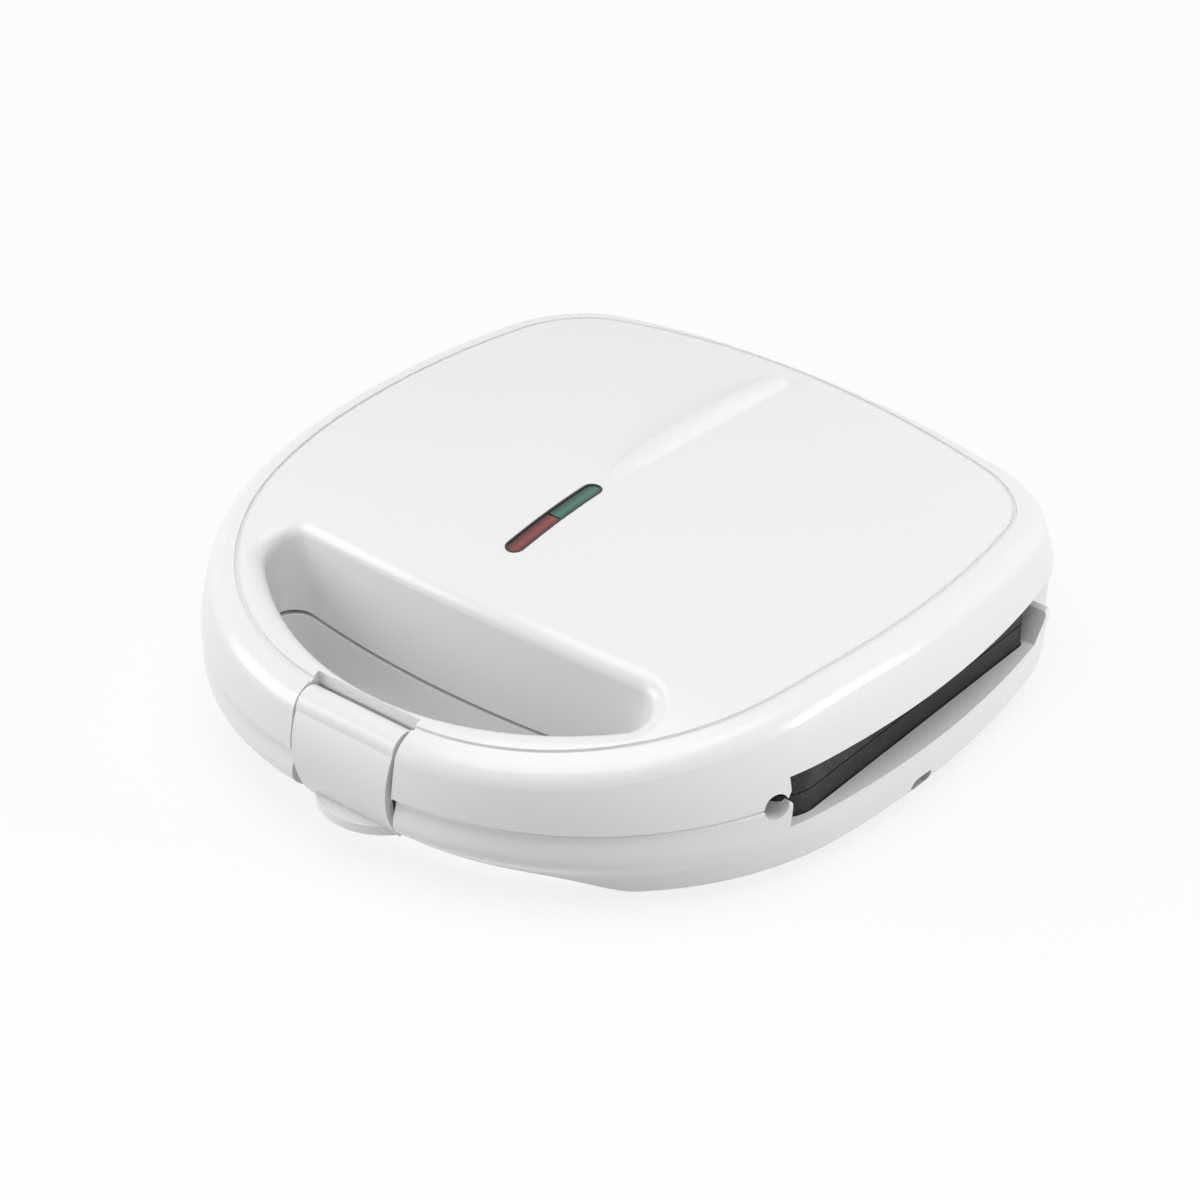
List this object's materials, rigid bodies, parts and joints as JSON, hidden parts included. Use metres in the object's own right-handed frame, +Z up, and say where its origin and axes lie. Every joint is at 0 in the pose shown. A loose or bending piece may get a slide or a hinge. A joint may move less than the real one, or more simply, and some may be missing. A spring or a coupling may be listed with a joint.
{
  "type": "donut maker",
  "caption": "Closed clamshell donut maker with a rounded square lid, a finger opening behind the front bar, a swinging latch and signal lamps on top.",
  "frame": {"origin": "on the floor under the middle of the closed object's bounding box", "axes": "+Z up, +Y towards the hinge at the rear, front bar towards -Y, +X to the right seen from the front"},
  "size_m": [0.221, 0.2268, 0.0705],
  "materials": {
    "white_plastic": "satin white moulding",
    "coated_plate": "dark non-stick coating",
    "steel": "plain steel",
    "heater_tube": "oxidised tube",
    "sheet_aluminium": "thin bright sheet",
    "dark_plastic": "dark moulding",
    "red_lens": "clear red lens",
    "green_lens": "clear green lens",
    "lamp_glass": "small glow lamp",
    "foot_rubber": "soft rubber"
  },
  "bodies": {
    "base": {"lower_housing": "white_plastic", "lower_plate": "coated_plate", "lower_plate_screws": "steel", "lower_heating_element": "heater_tube", "lower_heat_shield": "sheet_aluminium", "thermostat": "dark_plastic", "thermal_fuse": "steel", "terminal_block": "dark_plastic", "left_hinge_pin": "steel", "right_hinge_pin": "steel", "front_left_foot": "foot_rubber", "front_right_foot": "foot_rubber", "rear_left_foot": "foot_rubber", "rear_right_foot": "foot_rubber", "cord_gland": "dark_plastic"},
    "lid": {"upper_housing": "white_plastic", "upper_plate": "coated_plate", "upper_plate_screws": "steel", "upper_heating_element": "heater_tube", "upper_heat_shield": "sheet_aluminium", "lamp_bezel": "dark_plastic", "red_lens": "red_lens", "green_lens": "green_lens", "lamp_holder": "dark_plastic", "red_lamp": "lamp_glass", "green_lamp": "lamp_glass", "latch_pin": "steel"},
    "latch": {"latch_clip": "white_plastic"}
  },
  "joints": [
    {"name": "lid_hinge", "type": "hinge", "parent": "base", "child": "lid", "pos_m": [0, 0.1096, 0.03383], "axis": [-1, 0, 0], "range_deg": [0, 100]},
    {"name": "latch_swing", "type": "hinge", "parent": "lid", "child": "latch", "pos_m": [0, -0.1046, 0.04253], "axis": [-1, 0, 0], "range_deg": [0, 65]}
  ]
}
